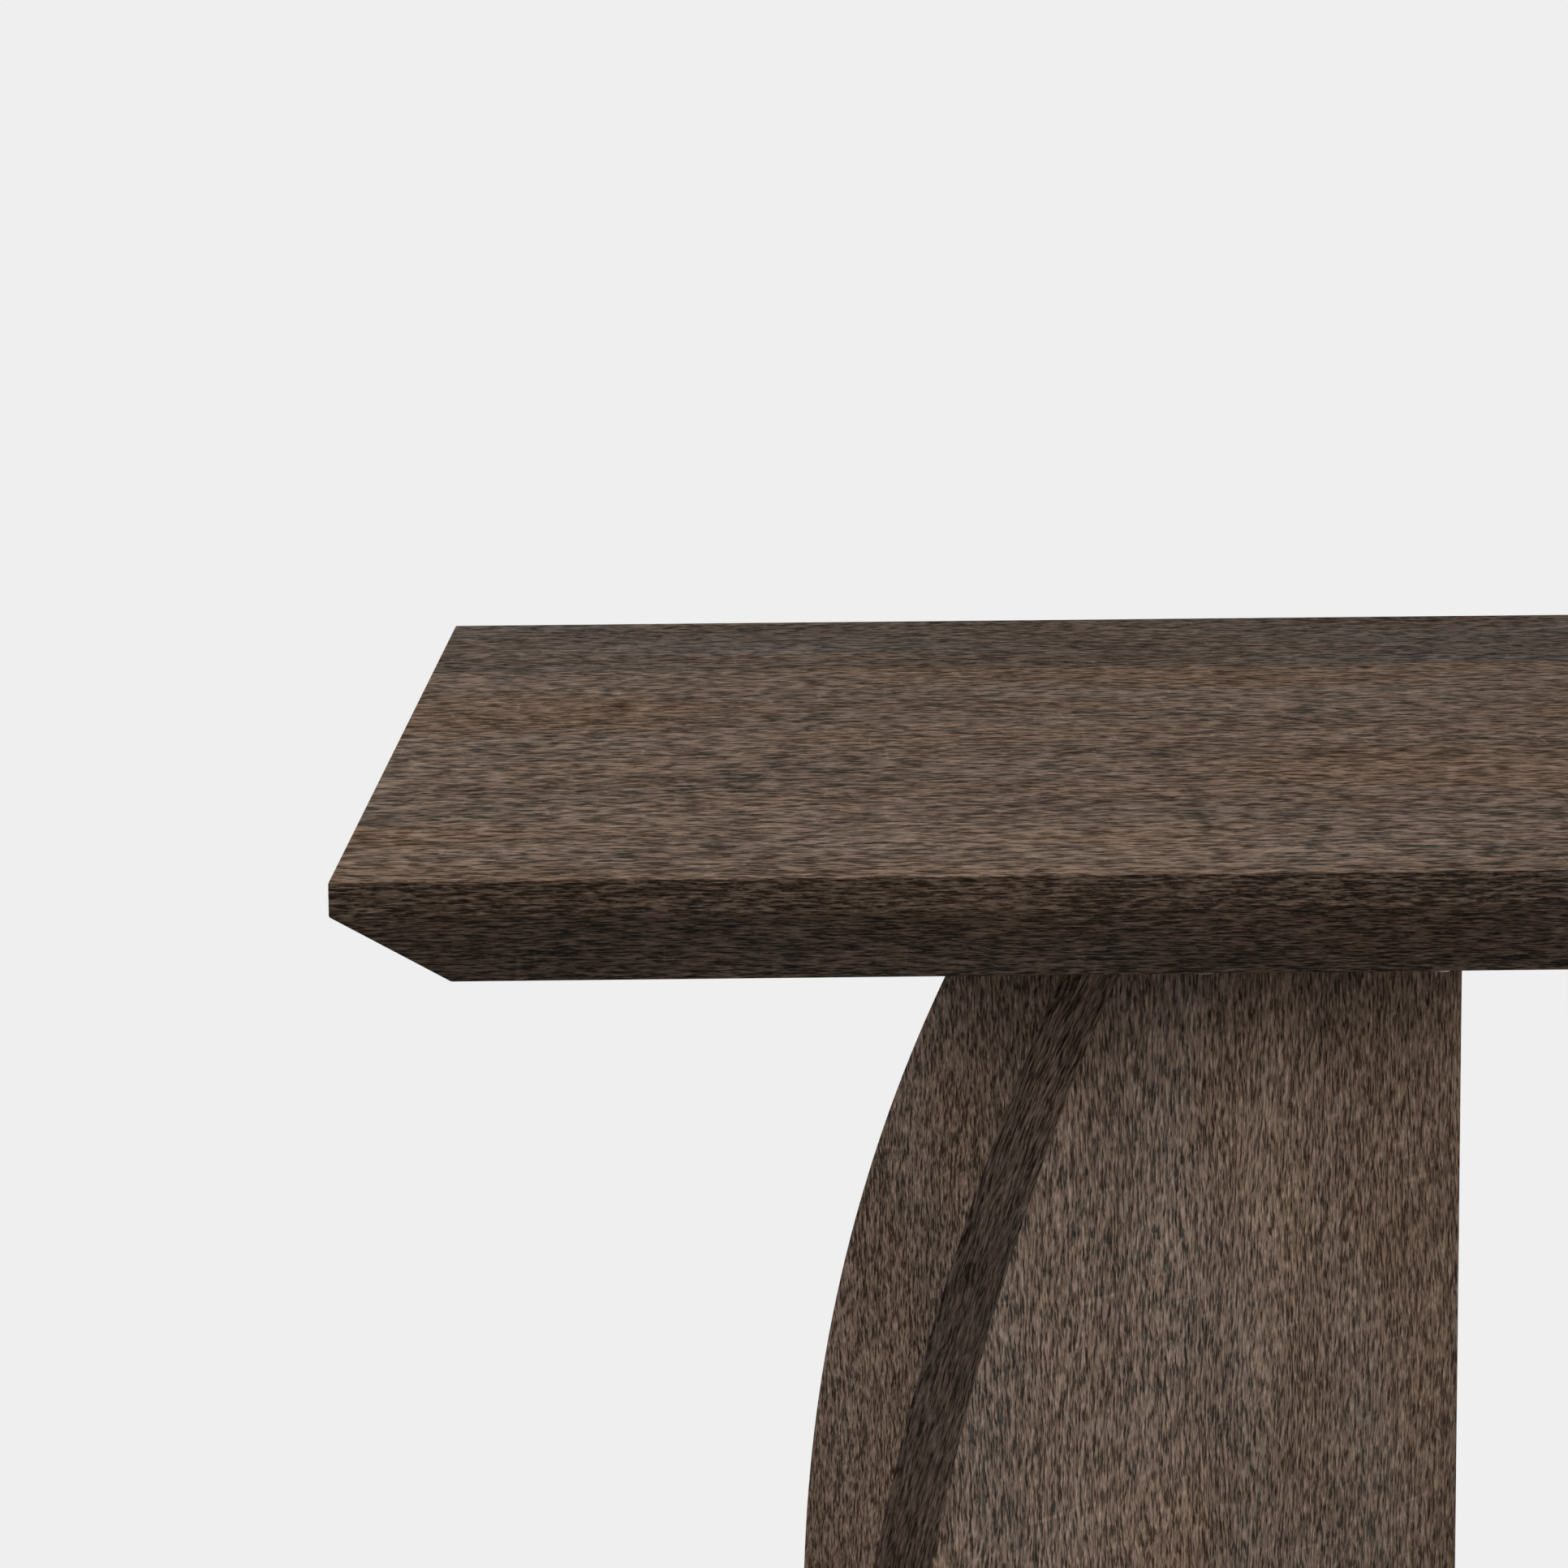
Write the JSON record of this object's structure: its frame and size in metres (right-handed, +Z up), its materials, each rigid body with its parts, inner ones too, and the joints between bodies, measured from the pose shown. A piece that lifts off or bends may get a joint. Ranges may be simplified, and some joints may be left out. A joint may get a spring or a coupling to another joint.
{
  "type": "communion table",
  "caption": "Smoked oak communion table: thin-edged rectangular top, bevelled underneath, on V-shaped panel pedestals whose free edges bow out in an arc.",
  "frame": {"origin": "on the floor, under the middle of the top", "axes": "+X along the table's length, +Y to the back, +Z up"},
  "size_m": [1.6, 0.8, 0.92],
  "materials": {
    "smoked_oak_top": "matt oiled, dark smoked, open pores, grain along the table",
    "smoked_oak_panel": "matt oiled, dark smoked, open pores, grain upright",
    "smoked_oak_frame": "planed and smoked, without oil",
    "beech": "planed, unstained",
    "zinc_steel": "zinc plated, satin",
    "brass": "turned"
  },
  "bodies": {
    "table": {"top_board_1": "smoked_oak_top", "top_board_2": "smoked_oak_top", "top_board_3": "smoked_oak_top", "top_board_4": "smoked_oak_top", "top_tongue_1": "beech", "top_tongue_2": "beech", "top_tongue_3": "beech", "middle_batten": "smoked_oak_frame", "middle_batten_screw_front": "zinc_steel", "middle_batten_screw_back": "zinc_steel", "left_bearer": "smoked_oak_frame", "left_bearer_screw_front_inner": "zinc_steel", "left_bearer_screw_front_outer": "zinc_steel", "left_bearer_screw_back_inner": "zinc_steel", "left_bearer_screw_back_outer": "zinc_steel", "left_mitre_tongue": "beech", "left_corner_block_1": "smoked_oak_frame", "left_corner_block_2": "smoked_oak_frame", "left_corner_block_3": "smoked_oak_frame", "left_front_arm": "smoked_oak_panel", "left_front_cleat": "smoked_oak_frame", "left_front_cleat_screw_arm": "zinc_steel", "left_front_cleat_screw_bearer": "zinc_steel", "left_back_arm": "smoked_oak_panel", "left_back_cleat": "smoked_oak_frame", "left_back_cleat_screw_arm": "zinc_steel", "left_back_cleat_screw_bearer": "zinc_steel", "left_apex_foot_insert": "brass", "left_front_foot_insert": "brass", "left_back_foot_insert": "brass", "right_bearer": "smoked_oak_frame", "right_bearer_screw_front_inner": "zinc_steel", "right_bearer_screw_front_outer": "zinc_steel", "right_bearer_screw_back_inner": "zinc_steel", "right_bearer_screw_back_outer": "zinc_steel", "right_mitre_tongue": "beech", "right_corner_block_1": "smoked_oak_frame", "right_corner_block_2": "smoked_oak_frame", "right_corner_block_3": "smoked_oak_frame", "right_front_arm": "smoked_oak_panel", "right_front_cleat": "smoked_oak_frame", "right_front_cleat_screw_arm": "zinc_steel", "right_front_cleat_screw_bearer": "zinc_steel", "right_back_arm": "smoked_oak_panel", "right_back_cleat": "smoked_oak_frame", "right_back_cleat_screw_arm": "zinc_steel", "right_back_cleat_screw_bearer": "zinc_steel", "right_apex_foot_insert": "brass", "right_front_foot_insert": "brass", "right_back_foot_insert": "brass"},
    "left_apex_foot": {"left_apex_foot": "zinc_steel"},
    "left_front_foot": {"left_front_foot": "zinc_steel"},
    "left_back_foot": {"left_back_foot": "zinc_steel"},
    "right_apex_foot": {"right_apex_foot": "zinc_steel"},
    "right_front_foot": {"right_front_foot": "zinc_steel"},
    "right_back_foot": {"right_back_foot": "zinc_steel"}
  },
  "joints": [
    {"name": "left_apex_foot_slide", "type": "slide", "parent": "table", "child": "left_apex_foot", "axis": [0, 0, -1], "range_m": [0, 0.01]},
    {"name": "left_front_foot_slide", "type": "slide", "parent": "table", "child": "left_front_foot", "axis": [0, 0, -1], "range_m": [0, 0.01]},
    {"name": "left_back_foot_slide", "type": "slide", "parent": "table", "child": "left_back_foot", "axis": [0, 0, -1], "range_m": [0, 0.01]},
    {"name": "right_apex_foot_slide", "type": "slide", "parent": "table", "child": "right_apex_foot", "axis": [0, 0, -1], "range_m": [0, 0.01]},
    {"name": "right_front_foot_slide", "type": "slide", "parent": "table", "child": "right_front_foot", "axis": [0, 0, -1], "range_m": [0, 0.01]},
    {"name": "right_back_foot_slide", "type": "slide", "parent": "table", "child": "right_back_foot", "axis": [0, 0, -1], "range_m": [0, 0.01]}
  ]
}
